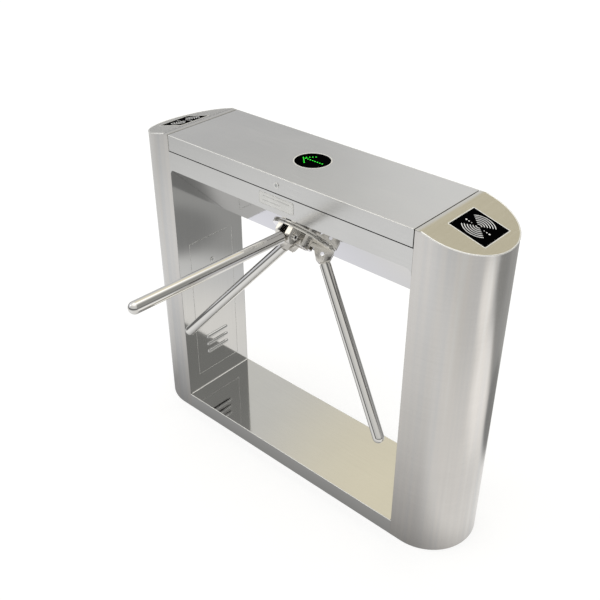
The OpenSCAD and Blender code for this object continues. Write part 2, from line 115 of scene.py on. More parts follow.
def new_material(name):
    m = bpy.data.materials.new(name)
    m.use_nodes = True
    m.node_tree.nodes.clear()
    t = Tree(m.node_tree)
    out = t.add("ShaderNodeOutputMaterial")
    sh = t.add("ShaderNodeBsdfPrincipled")
    m.node_tree.links.new(sh.outputs[0], out.inputs["Surface"])
    return m, t, sh


def scaled(t, scale):
    co = t.add("ShaderNodeTexCoord").outputs["Object"]
    mp = t.add("ShaderNodeMapping")
    t.put(mp, "Vector", co)
    mp.inputs["Scale"].default_value = scale
    return mp.outputs[0]


def steel(name, colour, rough, grain, fine=900.0, long=7.0, tone=0.05, bump=0.010, patch=0.04, aniso=0.0, turn=0.0,
          tangent="Z", bands=0.0):
    """Stainless steel with a brushed grain that runs along one axis: fine lines, broader lines, soft handling marks."""
    m, t, sh = new_material(name)
    axes = {"X": (long, fine, fine), "Y": (fine, long, fine), "Z": (fine, fine, long), "XY": (long, long, fine)}
    s = axes[grain]
    lines = t.noise(scaled(t, s), detail=3.0, rough=0.65)
    wide = t.noise(scaled(t, tuple(v * 0.22 for v in s)), detail=2.0, rough=0.5)
    cloud = t.noise(scaled(t, (5.0, 5.0, 5.0)), detail=4.0, rough=0.55, warp=0.4)
    grainy = t.math("ADD", t.math("MULTIPLY", lines, 0.82), t.math("MULTIPLY", wide, 0.18))
    shade = t.span(grainy, 0.3, 0.7, 1.0 - tone, 1.0 + tone)
    shade = t.math("MULTIPLY", shade, t.span(cloud, 0.3, 0.7, 1.0 - patch * 0.5, 1.0 + patch * 0.5))
    base = t.mix(1.0, (*colour, 1), shade, "MULTIPLY")
    if bands:
        # faint upright bands painted into the colour, slightly warm and cool in turn: painted sheen, standing in for
        # the reflected bands on the rounded column
        sheen_band_noise = t.noise(scaled(t, (26.0, 26.0, 0.45)), detail=2.0, rough=0.6)
        sheen_band_tint = t.ramp(t.span(sheen_band_noise, 0.32, 0.68), [(0.0, (1.0 - bands * 1.2, 1.0 - bands * 1.2, 1.0 - bands)),
                                                 (0.55, (1.0 + bands * 0.3, 1.0 - bands * 0.2, 1.0 - bands * 0.6)),
                                                 (1.0, (1.0 + bands, 1.0 + bands, 1.0 + bands * 0.9))])
        base = t.mix(1.0, base, sheen_band_tint, "MULTIPLY")
    t.put(sh, "Base Color", base)
    sh.inputs["Metallic"].default_value = 1.0
    r = t.math("ADD", t.span(grainy, 0.3, 0.7, rough * 0.82, rough * 1.18), t.span(cloud, 0.35, 0.75, 0.0, patch * 0.6))
    t.put(sh, "Roughness", r)
    sh.inputs["Anisotropic"].default_value = aniso
    sh.inputs["Anisotropic Rotation"].default_value = turn
    if aniso:
        tg = t.add("ShaderNodeTangent", direction_type="RADIAL", axis=tangent)
        t.put(sh, "Tangent", tg.outputs[0])
    b = t.add("ShaderNodeBump")
    t.put(b, "Strength", 1.0)
    t.put(b, "Distance", bump * 0.001)
    t.put(b, "Height", grainy)
    t.put(sh, "Normal", b.outputs[0])
    return m


def cast(name, colour, rough, pit=0.05, grain=260.0, metallic=1.0):
    """Satin cast or machined metal: fine isotropic grain, clouded roughness, soft handling marks."""
    m, t, sh = new_material(name)
    fine = t.noise(scaled(t, (grain,) * 3), detail=4.0, rough=0.6)
    cloud = t.noise(scaled(t, (22.0,) * 3), detail=3.0, rough=0.5, warp=0.5)
    shade = t.math("MULTIPLY", t.span(fine, 0.3, 0.7, 0.95, 1.05), t.span(cloud, 0.3, 0.7, 0.93, 1.06))
    t.put(sh, "Base Color", t.mix(1.0, (*colour, 1), shade, "MULTIPLY"))
    sh.inputs["Metallic"].default_value = metallic
    t.put(sh, "Roughness", t.math("ADD", t.span(fine, 0.3, 0.7, rough * 0.85, rough * 1.15), t.span(cloud, 0.3, 0.7, -0.03, 0.05)))
    b = t.add("ShaderNodeBump")
    t.put(b, "Strength", 1.0)
    t.put(b, "Distance", pit * 0.001)
    t.put(b, "Height", fine)
    t.put(sh, "Normal", b.outputs[0])
    return m


def plastic(name, colour, rough, grain=700.0, pit=0.02, coat=0.0, spec=0.5, patch=0.15):
    """Moulded plastic or rubber: pebbled grain, slightly clouded colour and gloss."""
    m, t, sh = new_material(name)
    fine = t.noise(scaled(t, (grain,) * 3), detail=2.0, rough=0.5)
    cloud = t.noise(scaled(t, (30.0,) * 3), detail=3.0, rough=0.5)
    shade = t.span(cloud, 0.3, 0.7, 1.0 - patch, 1.0 + patch)
    t.put(sh, "Base Color", t.mix(1.0, (*colour, 1), shade, "MULTIPLY"))
    t.put(sh, "Roughness", t.math("ADD", t.span(fine, 0.3, 0.7, rough * 0.9, rough * 1.1), t.span(cloud, 0.3, 0.7, -0.02, 0.04)))
    sh.inputs["Specular IOR Level"].default_value = spec
    sh.inputs["IOR"].default_value = 1.02 if spec < 0.02 else 1.5
    sh.inputs["Coat Weight"].default_value = coat
    sh.inputs["Coat Roughness"].default_value = 0.05
    b = t.add("ShaderNodeBump")
    t.put(b, "Strength", 1.0)
    t.put(b, "Distance", pit * 0.001)
    t.put(b, "Height", fine)
    t.put(sh, "Normal", b.outputs[0])
    return m


# ---------------------------------------------------------------- materials
STEEL = (0.652, 0.650, 0.643)
sheet_round = steel("sheet_round_brushed", STEEL, 0.14, "XY", long=9, tone=0.035, patch=0.05, bump=0.005, aniso=0.55, turn=0.25, bands=0.055)
sheet_flat = steel("sheet_flat_brushed", STEEL, 0.17, "X", long=9, tone=0.04, patch=0.05, aniso=0.0)
sheet_sill = steel("sheet_sill_brushed", STEEL, 0.055, "X", long=6, tone=0.03, patch=0.03, bump=0.006)
sheet_jamb = steel("sheet_jamb_brushed", STEEL, 0.085, "Z", long=6, tone=0.03, patch=0.03, bump=0.008)
# a darker copy of the steel for the sloping underside panel, which faces down: painted shade
sheet_slope_shaded = steel("sheet_slope_brushed", (0.545, 0.540, 0.535), 0.05, "X", long=6, tone=0.02, patch=0.02, bump=0.004)
sheet_cover = steel("sheet_cover_brushed", STEEL, 0.22, "X", long=9, tone=0.06, patch=0.05, bump=0.014)
sheet_cap = steel("sheet_cap_brushed", (0.608, 0.598, 0.565), 0.20, "Y", long=9, tone=0.06, patch=0.05, bump=0.005)
tube_polished = steel("tube_polished", (0.76, 0.75, 0.73), 0.035, "Z", fine=700, long=25, tone=0.02, patch=0.01, bump=0.0015)
hub_cast = cast("hub_cast_satin", (0.71, 0.69, 0.655), 0.17)
disc_bright = cast("disc_turned_bright", (0.88, 0.86, 0.81), 0.09, pit=0.015, metallic=0.85)
# near-white and half metallic, so the edge beads read as bright lines whatever they reflect: painted highlight
rim_painted_highlight = cast("rim_painted_highlight", (0.93, 0.92, 0.89), 0.22, pit=0.01, metallic=0.55)
fitting_bright = cast("fitting_bright", (0.78, 0.77, 0.75), 0.12, pit=0.02)
zinc = cast("zinc_passivated", (0.60, 0.61, 0.60), 0.32, pit=0.04)
bearing = cast("bearing_ground", (0.72, 0.72, 0.73), 0.10, pit=0.01)
black_glass = plastic("black_gloss_panel", (0.0012, 0.0012, 0.0014), 0.24, pit=0.002, coat=0.0, spec=0.012)
black_moulded = plastic("black_moulded", (0.018, 0.018, 0.019), 0.42)
rubber = plastic("seal_rubber_matt", (0.014, 0.014, 0.015), 0.62, pit=0.05)
board = plastic("board_lacquer", (0.012, 0.12, 0.045), 0.28, grain=1500, pit=0.01, patch=0.25)
cream = cast("cream_anodised", (0.90, 0.89, 0.84), 0.30, pit=0.02, metallic=0.35)
plate_satin = cast("plate_satin", (0.74, 0.735, 0.71), 0.26, pit=0.02)
ink = plastic("white_ink", (0.98, 0.98, 0.98), 0.45, pit=0.01, patch=0.05)


def lamp_material():
    m, t, sh = new_material("lamp_green_lit")
    co = scaled(t, (900.0, 900.0, 900.0))
    glow = t.noise(co, detail=1.0)
    t.put(sh, "Base Color", t.mix(t.span(glow, 0.3, 0.7), (0.0, 0.30, 0.01, 1), (0.0, 0.42, 0.02, 1)))
    sh.inputs["Roughness"].default_value = 0.25
    t.put(sh, "Emission Color", t.mix(t.span(glow, 0.3, 0.7), (0.0, 0.72, 0.0, 1), (0.0, 0.92, 0.01, 1)))
    sh.inputs["Emission Strength"].default_value = 1.3
    return m


lamp = lamp_material()

WEAR = {
    "base_plate": zinc, "cable_grommet": rubber, "left_end_wrap": sheet_round, "right_end_wrap": sheet_round,
    "front_beam_panel": sheet_flat, "back_beam_panel": sheet_flat, "sill_channel": sheet_sill,
    "underside_panel": sheet_slope_shaded, "left_jamb_panel": sheet_jamb, "right_jamb_panel": sheet_jamb,
    "left_reader_cap": sheet_cap, "right_reader_cap": sheet_cap, "reader_windows": black_glass,
    "reader_modules": board, "name_plate": plate_satin, "cover_seal": rubber, "cabinet_hinge_leaves": zinc,
    "cover_hinge_pins": fitting_bright, "chassis_plate": zinc, "mechanism_studs": zinc,
    "bearing_housing": hub_cast, "main_bearings": bearing, "rear_plate": zinc, "plate_standoffs": zinc,
    "solenoid_bodies": black_moulded, "position_sensor": black_moulded, "control_board": board,
    "power_supply": zinc, "pass_counter": black_moulded, "main_shaft": bearing, "rotor_disc": disc_bright,
    "tripod_hub": hub_cast, "lock_disc": zinc, "sensor_disc": black_moulded, "swing_arm_tubes": tube_polished,
    "swing_arm_tongues": hub_cast, "arm_pivot_bushes": fitting_bright, "barrier_pivot_bolt": fitting_bright,
    "barrier_arm_tube": tube_polished, "barrier_arm_tongue": hub_cast, "top_cover": sheet_cover,
    "cover_hinge_leaves": zinc, "led_housing": black_moulded, "led_board": board, "led_bezel": cream,
    "led_window": black_glass, "led_lamps": lamp, "cover_lock_body": fitting_bright, "cover_lock_cam": zinc,
    "left_service_door": sheet_jamb, "left_door_lock": fitting_bright, "left_door_cam": zinc,
    "right_service_door": sheet_jamb, "right_door_lock": fitting_bright, "right_door_cam": zinc,
    "left_pawl": zinc, "right_pawl": zinc, "left_plunger": bearing, "right_plunger": bearing,
}
EDGE = {
    "left_end_wrap": 1.0, "right_end_wrap": 1.0, "top_cover": 2.0, "sill_channel": 1.4, "front_beam_panel": 0.7,
    "back_beam_panel": 0.5, "left_reader_cap": 1.4, "right_reader_cap": 1.4, "name_plate": 0.35, "tripod_hub": 1.6,
    "rotor_disc": 0.9, "swing_arm_tongues": 1.5, "barrier_arm_tongue": 1.5, "barrier_pivot_bolt": 0.6,
    "arm_pivot_bushes": 0.4, "led_bezel": 0.35, "led_window": 0.2, "left_service_door": 0.6,
    "right_service_door": 0.6, "left_jamb_panel": 0.3, "right_jamb_panel": 0.3, "underside_panel": 0.3,
    "reader_windows": 0.1, "led_lamps": 0.12, "cover_lock_body": 0.35, "left_door_lock": 0.35,
    "right_door_lock": 0.35, "barrier_arm_tube": 0.5, "swing_arm_tubes": 0.5, "base_plate": 0.4,
}


def normals_group():
    """Joins the faces' loose corners and drops the stored normals, so that a bevel can run round every edge."""
    g = bpy.data.node_groups.new("joined_faces", "GeometryNodeTree")
    g.interface.new_socket("Geometry", in_out="INPUT", socket_type="NodeSocketGeometry")
    g.interface.new_socket("Geometry", in_out="OUTPUT", socket_type="NodeSocketGeometry")
    i, o = g.nodes.new("NodeGroupInput"), g.nodes.new("NodeGroupOutput")
    merge = g.nodes.new("GeometryNodeMergeByDistance")
    merge.inputs["Distance"].default_value = 2e-6
    clear = g.nodes.new("GeometryNodeSetMeshNormal")
    clear.mode = "SHARPNESS"
    g.links.new(i.outputs[0], merge.inputs[0])
    g.links.new(merge.outputs[0], clear.inputs[0])
    g.links.new(clear.outputs[0], o.inputs[0])
    return g


JOINED = normals_group()


def soften(o, width_mm, segments=2, angle=28.0):
    m = o.modifiers.new("joined", "NODES")
    m.node_group = JOINED
    d = o.modifiers.new("flats", "DECIMATE")
    d.decimate_type = "DISSOLVE"
    d.angle_limit = math.radians(0.6)
    b = o.modifiers.new("edges", "BEVEL")
    b.limit_method = "ANGLE"
    b.angle_limit = math.radians(angle)
    b.width = width_mm * 0.001
    b.segments = segments
    b.use_clamp_overlap = True
    b.harden_normals = False
    w = o.modifiers.new("flat_shading", "WEIGHTED_NORMAL")
    w.mode = "FACE_AREA"
    w.weight = 60
    w.keep_sharp = False


for name, o in NODES.items():
    for s in o.material_slots:
        s.material = WEAR[name]
    soften(o, EDGE.get(name, 0.3), segments=3 if name in ("tripod_hub", "top_cover") else 2)


# ---------------------------------------------------------------- detail pieces
MM = 0.001


def piece(name, body, slot, material, verts, faces, smooth=True):
    """One mesh in millimetres, riding on a body and wearing the given material."""
    me = bpy.data.meshes.new(name)
    me.from_pydata([(x * MM, y * MM, z * MM) for x, y, z in verts], [], faces)
    me.validate()
    for f in me.polygons:
        f.use_smooth = smooth
    me.materials.append(material)
    o = bpy.data.objects.new(name, me)
    scene.collection.objects.link(o)
    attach(o, body)
    return o


def sweep(out, path, up, wide, high, closed=True, sides=12):
    """Adds a bead with an oval section (wide across, high along `up`) along a path to out = (verts, faces)."""
    verts, faces = out
    path = [Vector(p) for p in path]
    up = Vector(up).normalized()
    n, rings = len(path), []
    for i, p in enumerate(path):
        a = path[(i - 1) % n] if closed or i else path[0]
        b = path[(i + 1) % n] if closed or i < n - 1 else path[-1]
        along = (b - a).normalized()
        across = along.cross(up).normalized()
        rings.append((p, along, across, 1.0))
    if not closed:
        head, tail = rings[0], rings[-1]
        lead = [(head[0] - head[1] * wide * math.sin(k), head[1], head[2], math.cos(k)) for k in (1.5, 1.1, 0.6)]
        trail = [(tail[0] + tail[1] * wide * math.sin(k), tail[1], tail[2], math.cos(k)) for k in (0.6, 1.1, 1.5)]
        rings = lead + rings + trail
    start = len(verts)
    for p, _, across, k in rings:
        for j in range(sides):
            t = 2 * math.pi * j / sides
            verts.append(tuple(p + across * (wide * k * math.cos(t)) + up * (high * k * math.sin(t))))
    m = len(rings)
    for i in range(m if closed else m - 1):
        for j in range(sides):
            a, b = start + i * sides, start + ((i + 1) % m) * sides
            k = (j + 1) % sides
            faces.append((a + j, a + k, b + k, b + j))
    if not closed:
        faces.append(tuple(start + j for j in range(sides)))
        faces.append(tuple(start + (m - 1) * sides + j for j in reversed(range(sides))))
    return out


def rounded_loop(w, h, r, steps=6):
    """Half sizes and corner radius, as (u, v) pairs running round once."""
    pts = []
    for cx, cy, a0 in ((w - r, h - r, 0), (r - w, h - r, 90), (r - w, r - h, 180), (w - r, r - h, 270)):
        for k in range(steps + 1):
            a = math.radians(a0 + 90 * k / steps)
            pts.append((cx + r * math.cos(a), cy + r * math.sin(a)))
    return pts


def fine(points, step=4.0):
    """Splits long straight stretches of a closed path."""
    out = []
    for i, p in enumerate(points):
        q = points[(i + 1) % len(points)]
        k = max(1, int(math.dist(p, q) / step))
        out += [tuple(p[c] + (q[c] - p[c]) * j / k for c in range(len(p))) for j in range(k)]
    return out


def turned(out, at, axis, profile, segs=24, turn=0.0):
    """Adds a turned shape: profile is (radius, height) pairs along the axis, the last one closing on the axis if its radius is 0."""
    verts, faces = out
    at, axis = Vector(at), Vector(axis).normalized()
    ref = Vector((0, 0, 1)) if abs(axis.z) < 0.9 else Vector((1, 0, 0))
    u = axis.cross(ref).normalized()
    v = axis.cross(u)
    start = len(verts)
    for r, h in profile:
        for j in range(segs):
            a = 2 * math.pi * j / segs + turn
            verts.append(tuple(at + axis * h + (u * math.cos(a) + v * math.sin(a)) * max(r, 0.001)))
    for i in range(len(profile) - 1):
        for j in range(segs):
            k = (j + 1) % segs
            a, b = start + i * segs, start + (i + 1) * segs
            faces.append((a + j, a + k, b + k, b + j))
    faces.append(tuple(start + (len(profile) - 1) * segs + j for j in range(segs)))
    return out


def block(out, centre, size, r=0.4):
    """Adds a small moulded part: a box with its upright corners rounded and its face edge stepped in."""
    verts, faces = out
    x, y, z = centre
    w, d, h = (v / 2 for v in size)
    loop = rounded_loop(w, h, min(r, w * 0.9, h * 0.9), 3)
    n, start = len(loop), len(verts)
    for depth, inset in ((d, 0.0), (-d + r, 0.0), (-d + r * 0.3, r * 0.3), (-d, r)):
        for a, b in loop:
            verts.append((x + a * (1 - inset / w), y + depth, z + b * (1 - inset / h)))
    for i in range(3):
        for j in range(n):
            k = (j + 1) % n
            faces.append((start + i * n + j, start + i * n + k, start + (i + 1) * n + k, start + (i + 1) * n + j))
    faces.append(tuple(start + 3 * n + j for j in range(n)))
    faces.append(tuple(start + j for j in reversed(range(n))))
    return out


SCREW = [(1.0, 0.0), (1.0, 0.10), (0.93, 0.22), (0.72, 0.34), (0.50, 0.38), (0.44, 0.34), (0.40, 0.02), (0.0, 0.0)]


def screw(out, at, axis, r, segs=24):
    return turned(out, at, axis, [(a * r, b * r) for a, b in SCREW], segs)


TILT = math.radians(15)


def on_cap(side, u, v, h=0.0):
    """A point of the sloping cap: u down the slope from its middle, v along Y, h out of the surface."""
    x = 510 + u * math.cos(TILT) + h * math.sin(TILT)
    z = 990 - 67.5 * math.tan(TILT) - u * math.sin(TILT) + h * math.cos(TILT)
    return side * x, v, z


for side, word in ((-1, "left"), (1, "right")):
    normal = (side * math.sin(TILT), 0, math.cos(TILT))
    # rounded edge bead of the cap; its near-white rim finish is a painted highlight along the edge
    edge = [(442.5 + 20 * k / 4, -136.3) for k in range(4)]
    edge += [(462.5 + 136.3 * math.cos(math.radians(a)), 136.3 * math.sin(math.radians(a))) for a in range(-90, 91, 2)]
    edge += [(462.5 - 20 * k / 4, 136.3) for k in range(1, 5)]
    path = [(side * x, y, 990 - (x - 442.5) * math.tan(TILT) - 1.2) for x, y in edge]
    piece(f"{word}_cap_edge", "cabinet", "satin_sheet", rim_painted_highlight, *sweep(([], []), path, normal, 2.1, 1.9, closed=False))
    # thin frame round the reader window
    loop = [on_cap(side, u, v, 0.0) for u, v in fine(rounded_loop(52.6, 55.0, 1.5))]
    piece(f"{word}_reader_frame", "cabinet", "cream_ring", cream, *sweep(([], []), loop, normal, 1.5, 0.45))
    # plain concentric marking, printed on the window
    marks = ([], [])
    for r in (7.2, 14.4, 21.6, 28.8, 36.0, 43.0):
        for mid in (-90, 90):
            arc = [math.radians(mid + a) for a in range(-50, 51, 4)]
            pts = [on_cap(side, -3 + 0.94 * r * math.cos(a), 2 + r * math.sin(a), -0.28) for a in arc]
            sweep(marks, pts, normal, 1.15, 0.14, closed=False, sides=10)
    for end in (-1, 1):
        for k, size in ((0, 2.6), (1, 1.9), (2, 1.3)):
            turned(marks, on_cap(side, -3 + end * (33 - 7.5 * k), -2, -0.35), normal, [(size, 0), (size, 0.18), (size * 0.85, 0.25), (0, 0.25)], 20)
    piece(f"{word}_reader_marks", "cabinet", "cream_ring", ink, *marks)
    # bright inner corner where the column meets the sill
    verts, faces = [], []
    profile = [(0.0, 0.0), (0.0, 4.0)] + [(4 - 4 * math.cos(math.radians(a)), 4 - 4 * math.sin(math.radians(a))) for a in range(0, 91, 10)]
    stations = [-135.8 + 271.6 * k / 40 for k in range(41)]
    for y in stations:
        verts += [(side * (425 - a), y, 53 + b) for a, b in profile]
    n = len(profile)
    for i in range(40):
        faces += [(i * n + j, i * n + (j + 1) % n, (i + 1) * n + (j + 1) % n, (i + 1) * n + j) for j in range(n)]
    faces += [tuple(range(n)), tuple(reversed(range(40 * n, 41 * n)))]
    # a rounded bend fillet, in the bright fitting finish lighter than the sheet: painted highlight along the corner
    piece(f"{word}_sill_corner", "cabinet", "satin_sheet", fitting_bright, verts, faces)
    # light strip in the gap round the service door, in the near-white rim finish: painted highlight along the door's
    # edges
    ring = [(side * 425.65, u, 363.5 + v) for u, v in fine(rounded_loop(89.25, 251.75, 0.9), 8)]
    piece(f"{word}_door_gap_highlight", "cabinet", "satin_sheet", rim_painted_highlight, *sweep(([], []), ring, (1, 0, 0), 0.66, 0.6, sides=8))

# front and back edge beads of the sill; their near-white rim finish is a painted highlight along the edges
for y, word in ((-1, "front"), (1, "back")):
    path = [(-424 + 848 * k / 106, y * 136.5, 52.0) for k in range(107)]
    piece(f"sill_{word}_edge", "cabinet", "satin_sheet", rim_painted_highlight, *sweep(([], []), path, (0, 0, 1), 1.25, 1.25, closed=False))

# folded edges of the top cover, as beads in the near-white rim finish: painted highlight along the edges
for y, word in ((-1, "front"), (1, "back")):
    path = [(-421 + 842 * k / 106, y * 136.7, 989.1) for k in range(107)]
    piece(f"cover_{word}_edge", "top_cover", "cover_sheet", rim_painted_highlight, *sweep(([], []), path, (0, 0, 1), 1.15, 1.15, closed=False))

# plain pressed plate: a raised rim and two plain bars
rim = ([], [])
sweep(rim, [(-5 + u, -138.35, 915 + v) for u, v in fine(rounded_loop(59.6, 15.6, 3.0))], (0, 1, 0), 1.0, 0.42)
for z, x0, x1 in ((921.5, -50, 40), (909.5, -50, 8)):
    sweep(rim, [(x0 + (x1 - x0) * k / 20, -138.3, z) for k in range(21)], (0, 1, 0), 2.3, 0.45, closed=False)
piece("name_plate_relief", "cabinet", "satin_sheet", plate_satin, *rim)


def on_hub(x, a, h):
    """A point of the hub's frame: x across, a up the slope, h out of it."""
    r = math.sqrt(0.5)
    return x, -33 - r * a - r * h, 779 + r * a - r * h


OUT = (0.0, -math.sqrt(0.5), -math.sqrt(0.5))
# cream ring filling the gap under the rotor disc, so the gap reads light: painted reflection of the disc edge in the
# slope
ring = [on_hub(93.4 * math.cos(math.radians(a)), 93.4 * math.sin(math.radians(a)), 0.78) for a in range(0, 360, 3)]
piece("disc_gap_light_ring", "rotor", "cream_ring", cream, *sweep(([], []), ring, OUT, 0.9, 0.62))
# dark pad in the rubber finish on the disc behind the barrier arm's inner end: painted shade, a black block set where
# shade falls between the lugs
pad, n = ([], []), 0
loop = rounded_loop(7.2, 6.0, 2.2)
n = len(loop)
for h, inset in ((6.5, 0.0), (8.6, 0.0), (9.2, 0.35), (9.4, 1.0)):
    pad[0].extend(on_hub(u * (1 - inset / 7.2), 85.5 + v * (1 - inset / 6.0), h) for u, v in loop)
for i in range(3):
    pad[1].extend((i * n + j, i * n + (j + 1) % n, (i + 1) * n + (j + 1) % n, (i + 1) * n + j) for j in range(n))
pad[1].append(tuple(3 * n + j for j in range(n)))
pad[1].append(tuple(reversed(range(n))))
piece("disc_shade_pad", "rotor", "seal_rubber", rubber, *pad)
# black cups in the hexagon sockets, painted shade in the holes, and near-white chamfer rings, painted highlights, of
# the pivot bolt
cups, rings = ([], []), ([], [])
for side in (-1, 1):
    turned(cups, (side * 29.0, -99.5, 810.8), (-side, 0, 0), [(4.5, 0.15), (4.45, 1.2), (4.3, 2.6), (1.2, 2.8), (0, 2.8)], 6)
    turned(rings, (side * 29.0, -99.5, 810.8), (side, 0, 0), [(8.4, -0.3), (8.3, 0.15), (7.6, 0.42), (6.4, 0.42), (5.8, 0.2), (5.6, -0.2)], 40)
    rings[1].pop()
piece("bolt_socket_shade", "rotor", "black_plastic", black_moulded, *cups, smooth=False)
piece("bolt_rings", "rotor", "bright_fitting", rim_painted_highlight, *rings)

# screws of the hinges
low, high = ([], []), ([], [])
for x in (-300, 0, 300):
    for d in (-28, 0, 28):
        screw(low, (x + d, 138.6, 928.5), (0, 1, 0), 3.2)
        screw(high, (x + d, 138.6, 952.5), (0, 1, 0), 3.2)
piece("cabinet_hinge_screws", "cabinet", "zinc_plated", fitting_bright, *low)
piece("cover_hinge_screws", "top_cover", "zinc_plated", fitting_bright, *high)

# parts on the control board, vents of the power supply, frame of the pass counter
chips, legs = ([], []), ([], [])
for x, z, w, h in ((-345, 800, 18, 8), (-318, 806, 9, 9), (-244, 812, 14, 14), (-244, 838, 12, 7), (-290, 782, 24, 9),
                   (-250, 782, 16, 7), (-282, 856, 8, 8), (-262, 862, 10, 6), (-238, 862, 8, 6)):
    block(chips, (x, 123.3, z), (w, 2.2, h), 0.5)
    k = int(w / 2.54)
    for i in range(k):
        for s in (-1, 1):
            px = x + (i - (k - 1) / 2) * 2.54
            sweep(legs, [(px, 124.2, z + s * (h / 2 + 1.5)), (px, 123.4, z + s * (h / 2 + 0.8)), (px, 123.3, z + s * h / 2)], (1, 0, 0), 0.35, 0.35, closed=False, sides=6)
for i in range(14):
    block(chips, (-372 + 10.6 * i, 123.9, 770 + 3 * (i % 3)), (2.6, 1.0, 1.4), 0.2)
for x, z in ((-374, 766), (-226, 766), (-374, 874), (-226, 874)):
    screw(legs, (x, 124.35, z), (0, -1, 0), 3.0)
for i in range(4):
    for d in (-4, 4):
        screw(legs, (-357 + 22 * i + d, 107.9, 860), (0, -1, 0), 2.6)
for i in range(5):
    screw(legs, (388, 105.9, 778 + 16 * i), (0, -1, 0), 3.4)
piece("board_parts", "cabinet", "black_plastic", black_moulded, *chips, smooth=False)
piece("board_legs_and_screws", "cabinet", "zinc_plated", fitting_bright, *legs)
vents = ([], [])
for i in range(17):
    for z in (785, 835):
        sweep(vents, [(236 + 8 * i, 93.9, z - 15 + 3 * k) for k in range(11)], (0, 1, 0), 1.7, 0.35, closed=False, sides=10)
piece("supply_vents", "cabinet", "black_plastic", rubber, *vents)
frame_ring = ([], [])
sweep(frame_ring, [(-175 + u, 101.0, 805 + v) for u, v in fine(rounded_loop(21.4, 11.4, 1.5), 3)], (0, 1, 0), 1.0, 0.6)
for i in range(1, 6):
    sweep(frame_ring, [(-195 + 6.7 * i, 100.9, 796 + 2 * k) for k in range(10)], (0, 1, 0), 0.3, 0.15, closed=False, sides=8)
piece("counter_frame", "cabinet", "black_plastic", black_moulded, *frame_ring)


# ---------------------------------------------------------------- floor, light and camera
def direction(az, el):
    a, e = math.radians(az), math.radians(el)
    return Vector((math.sin(a) * math.cos(e), -math.cos(a) * math.cos(e), math.sin(e)))


def studio():
    """Soft daylight from a large studio: pale back wall, darker wall on the right, a broad light overhead."""
    w = bpy.data.worlds.new("studio")
    scene.world = w
    w.use_nodes = True
    w.node_tree.nodes.clear()
    t = Tree(w.node_tree)
    out = t.add("ShaderNodeOutputWorld")
    co = t.add("ShaderNodeTexCoord").outputs["Generated"]
    n = t.vmath("NORMALIZE", co)
    z = t.add("ShaderNodeSeparateXYZ")
    t.put(z, 0, n)
    col = t.ramp(z.outputs["Z"], [(0.0, (0.60, 0.60, 0.59)), (0.35, (0.64, 0.64, 0.63)), (0.7, (0.80, 0.79, 0.76)),
                                  (1.0, (0.95, 0.94, 0.92))])
    band = t.math("MULTIPLY", t.span(z.outputs["Z"], 0.15, 0.10, smooth=True), t.span(z.outputs["Z"], 0.0, 0.03, smooth=True))
    col = t.mix(band, col, (0.04, 0.04, 0.04, 1))
    for az, el, inner, outer, c in SOFTBOXES:
        dot = t.vmath("DOT_PRODUCT", n, tuple(direction(az, el)))
        fac = t.span(dot, math.cos(math.radians(outer)), math.cos(math.radians(inner)), 0.0, 1.0, smooth=True)
        col = t.mix(fac, col, (*c, 1))
    col = t.mix(t.span(z.outputs["Z"], -0.02, 0.0), (0, 0, 0, 1), col)
    bg = t.add("ShaderNodeBackground")
    t.put(bg, "Color", col)
    bg.inputs["Strength"].default_value = 1.0
    white = t.add("ShaderNodeBackground")
    white.inputs["Color"].default_value = (1, 1, 1, 1)
    white.inputs["Strength"].default_value = 1.0
    seen = t.add("ShaderNodeLightPath").outputs["Is Camera Ray"]
    ms = t.add("ShaderNodeMixShader")
    t.put(ms, 0, seen)
    w.node_tree.links.new(bg.outputs[0], ms.inputs[1])
    w.node_tree.links.new(white.outputs[0], ms.inputs[2])
    w.node_tree.links.new(ms.outputs[0], out.inputs["Surface"])


# azimuth, elevation, full to and fading out at (degrees), colour
SOFTBOXES = [
    (-133, 22, 4, 24, (0.62, 0.62, 0.60)),
    (-152, 25, 3, 13, (0.90, 0.90, 0.90)),
    (-138, 42, 3, 16, (0.76, 0.75, 0.71)),
    (-152, 48, 4, 15, (0.95, 0.88, 0.68)),
    (-172, 37, 5, 16, (0.76, 0.70, 0.53)),
    (128, 18, 16, 42, (0.33, 0.33, 0.315)),
    (175, 66, 8, 18, (1.50, 1.48, 1.42)),
    (-30, 70, 8, 24, (1.20, 1.20, 1.20)),
    (-60, 25, 10, 40, (0.85, 0.86, 0.90)),
    (0, 90, 14, 34, (1.45, 1.43, 1.38)),
    (-46, 38, 6, 14, (1.75, 1.70, 1.55)),
    (-130, 8, 10, 22, (0.62, 0.62, 0.63)),
]
studio()

bm = bmesh.new()
bmesh.ops.create_circle(bm, cap_ends=True, segments=96, radius=30.0)
floor_mesh = bpy.data.meshes.new("floor")
bm.to_mesh(floor_mesh)
bm.free()
floor = bpy.data.objects.new("floor", floor_mesh)
scene.collection.objects.link(floor)
floor.location.z = -0.0006

# x, y, full to and fading out at (metres), brightness: painted pools of light and shade on the floor, seen only in the
# metal's reflections
PAINTED_REFLECTION_POOLS = [
    (-0.6, -1.2, 0.6, 2.2, (0.90, 0.90, 0.895)),
    (1.0, -0.5, 0.4, 1.6, (0.87, 0.86, 0.84)),
    (1.9, -0.8, 0.4, 1.0, (0.74, 0.73, 0.71)),
    (-0.9, 1.1, 0.4, 1.3, (0.86, 0.86, 0.92)),
    (0.80, 1.50, 0.90, 1.12, (0.40, 0.40, 0.39)),
    (1.75, 1.15, 0.33, 0.66, (0.34, 0.34, 0.33)),
    (-0.1, 0.2, 0.1, 0.46, (0.94, 0.92, 0.88)),
    (0.75, 0.25, 0.20, 0.50, (0.90, 0.89, 0.87)),
    (0.66, 0.62, 0.20, 0.34, (0.27, 0.27, 0.265)),
    (1.27, 0.32, 0.20, 0.48, (1.14, 1.12, 1.09)),
    (1.95, 0.15, 0.20, 0.50, (1.10, 1.08, 1.05)),
]


